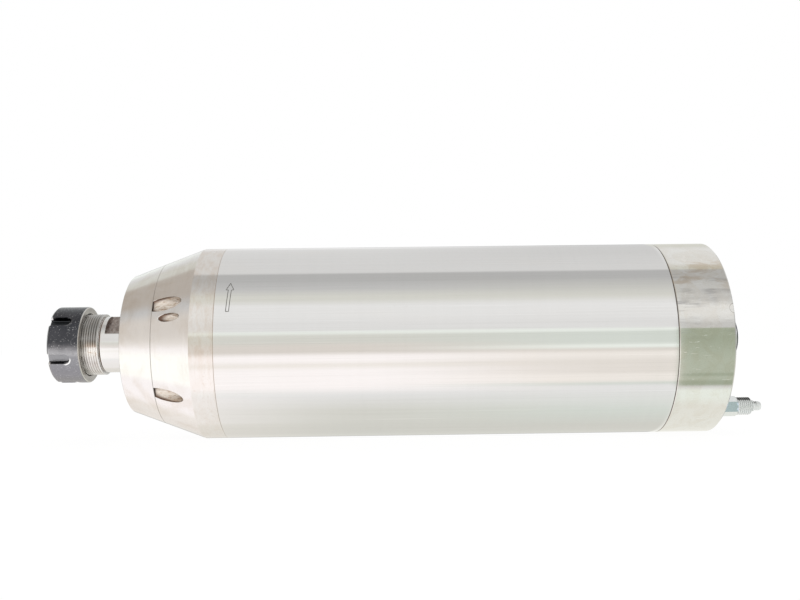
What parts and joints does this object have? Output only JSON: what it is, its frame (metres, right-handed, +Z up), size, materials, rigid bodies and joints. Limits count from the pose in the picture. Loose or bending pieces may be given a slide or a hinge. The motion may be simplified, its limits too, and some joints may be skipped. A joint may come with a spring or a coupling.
{
  "type": "motor spindle",
  "caption": "Water-cooled round motor spindle with a conical nose, a collet chuck and slotted collet nut, and rear hose fittings and connector.",
  "frame": {"origin": "on the spindle axis at the mouth of the collet, where the tool shank enters", "axes": "+X along the spindle axis from the collet towards the rear connector; +Z up, with both hose fittings below the axis"},
  "size_m": [0.4549, 0.125, 0.125],
  "materials": {
    "satin_steel": "satin turned stainless steel",
    "brushed_shell": "fine brushed stainless steel",
    "polished_steel": "polished stainless steel",
    "black_oxide": "black oxide steel",
    "ground_steel": "ground steel",
    "bearing_steel": "ground bearing steel",
    "cage_resin": "fabric-filled phenolic",
    "lamination": "stacked laminations",
    "cage_copper": "copper",
    "winding_copper": "varnished copper wire",
    "brass_ring": "turned brass",
    "alloy": "turned aluminium",
    "rubber": "nitrile rubber",
    "lead_sleeve": "silicone lead sleeve",
    "nickel": "nickel plated brass",
    "washer_alloy": "plain sealing washer",
    "dark_resin": "moulded phenolic",
    "pin_brass": "plated pins",
    "screw_steel": "stainless screws"
  },
  "bodies": {
    "stator": {"nose_ring": "satin_steel", "nose_ring_screws": "screw_steel", "front_housing": "satin_steel", "front_housing_screws": "screw_steel", "front_bearing_a_outer_ring": "bearing_steel", "front_bearing_b_outer_ring": "bearing_steel", "front_outer_spacer": "ground_steel", "outer_shell": "brushed_shell", "water_jacket": "alloy", "jacket_seals": "rubber", "stator_core": "lamination", "stator_winding": "winding_copper", "motor_leads": "lead_sleeve", "rear_bearing_housing": "alloy", "rear_housing_screws": "screw_steel", "preload_springs": "ground_steel", "rear_bearing_a_outer_ring": "bearing_steel", "rear_bearing_b_outer_ring": "bearing_steel", "rear_outer_spacer": "ground_steel", "rear_cap": "polished_steel", "rear_cap_screws": "screw_steel", "rear_seals": "rubber", "water_inlet_fitting": "nickel", "water_outlet_fitting": "nickel", "fitting_washers": "washer_alloy", "connector_gasket": "rubber", "connector_shell": "nickel", "connector_insulator": "dark_resin", "connector_pins": "pin_brass", "connector_screws": "screw_steel"},
    "shaft": {"spindle_shaft": "ground_steel", "slinger_ring": "ground_steel", "front_bearing_a_inner_ring": "bearing_steel", "front_bearing_b_inner_ring": "bearing_steel", "front_inner_spacer": "ground_steel", "front_lock_nut": "ground_steel", "rotor_core": "lamination", "rotor_cage": "cage_copper", "front_balance_ring": "brass_ring", "rear_balance_ring": "brass_ring", "rear_bearing_a_inner_ring": "bearing_steel", "rear_bearing_b_inner_ring": "bearing_steel", "rear_inner_spacer": "ground_steel", "rear_lock_nut": "ground_steel"},
    "front_ball_sets": {"front_bearing_a_balls": "bearing_steel", "front_bearing_b_balls": "bearing_steel", "front_bearing_a_cage": "cage_resin", "front_bearing_b_cage": "cage_resin"},
    "rear_ball_sets": {"rear_bearing_a_balls": "bearing_steel", "rear_bearing_b_balls": "bearing_steel", "rear_bearing_a_cage": "cage_resin", "rear_bearing_b_cage": "cage_resin"},
    "collet": {"collet": "ground_steel"},
    "nut": {"collet_nut": "black_oxide"}
  },
  "joints": [
    {"name": "shaft_spin", "type": "hinge", "parent": "stator", "child": "shaft", "pos_m": [0.1, 0, 0], "axis": [1, 0, 0], "continuous": true},
    {"name": "front_balls_orbit", "type": "hinge", "parent": "stator", "child": "front_ball_sets", "pos_m": [0.095, 0, 0], "axis": [1, 0, 0], "continuous": true},
    {"name": "rear_balls_orbit", "type": "hinge", "parent": "stator", "child": "rear_ball_sets", "pos_m": [0.37, 0, 0], "axis": [1, 0, 0], "continuous": true},
    {"name": "collet_draw", "type": "slide", "parent": "shaft", "child": "collet", "axis": [-1, 0, 0], "range_m": [0, 0.006]},
    {"name": "nut_turn", "type": "hinge", "parent": "collet", "child": "nut", "pos_m": [0.01, 0, 0], "axis": [-1, 0, 0], "range_deg": [0, 1440]}
  ],
  "couplings": [
    {"joint": "front_balls_orbit", "follows": "shaft_spin", "ratio": 0.4213},
    {"joint": "rear_balls_orbit", "follows": "shaft_spin", "ratio": 0.4155},
    {"joint": "collet_draw", "follows": "nut_turn", "m_per_rad": 0.00023873}
  ]
}
